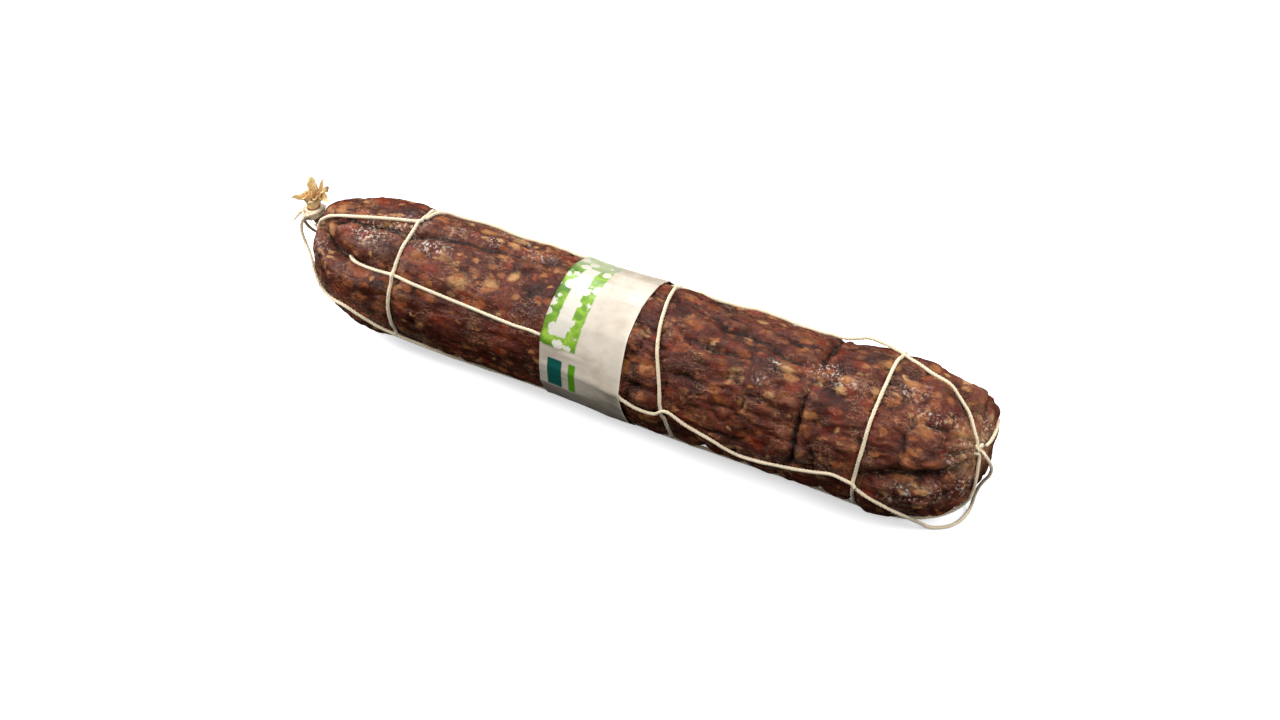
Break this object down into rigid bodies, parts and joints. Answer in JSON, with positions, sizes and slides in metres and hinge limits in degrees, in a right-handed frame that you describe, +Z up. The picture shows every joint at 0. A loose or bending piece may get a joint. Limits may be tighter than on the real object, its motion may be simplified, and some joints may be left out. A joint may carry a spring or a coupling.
{
  "type": "cured sausage",
  "caption": "Whole dry-cured sausage in its wrinkled skin, tied with butcher's twine, with a gathered neck and a plain paper band.",
  "frame": {"origin": "on the resting surface, under the middle of the box round everything but the slack twine", "axes": "+X along the sausage from the tied neck to the fat end, +Z up, -Y towards the side that is seen"},
  "size_m": [0.4572, 0.0926, 0.0869],
  "materials": {
    "sausage_skin": "wrinkled, greasy satin, with lumps of fat showing through and dry white bloom",
    "dry_casing": "dry, thin and translucent",
    "twine": "twisted natural fibre, matt",
    "paper": "coated paper, slight sheen, plain with a mottled green part"
  },
  "bodies": {
    "root": {"sausage": "sausage_skin", "casing_tuft": "dry_casing", "neck_binding": "twine", "paper_band": "paper", "twine_ring_neck_end": "twine", "twine_ring_beside_band": "twine", "twine_ring_fat_end": "twine", "twine_top_at_neck": "twine", "twine_top": "twine", "twine_front": "twine", "twine_belly": "twine", "twine_back": "twine", "twine_slack_loop": "twine", "twine_end_knot": "twine"}
  },
  "joints": []
}
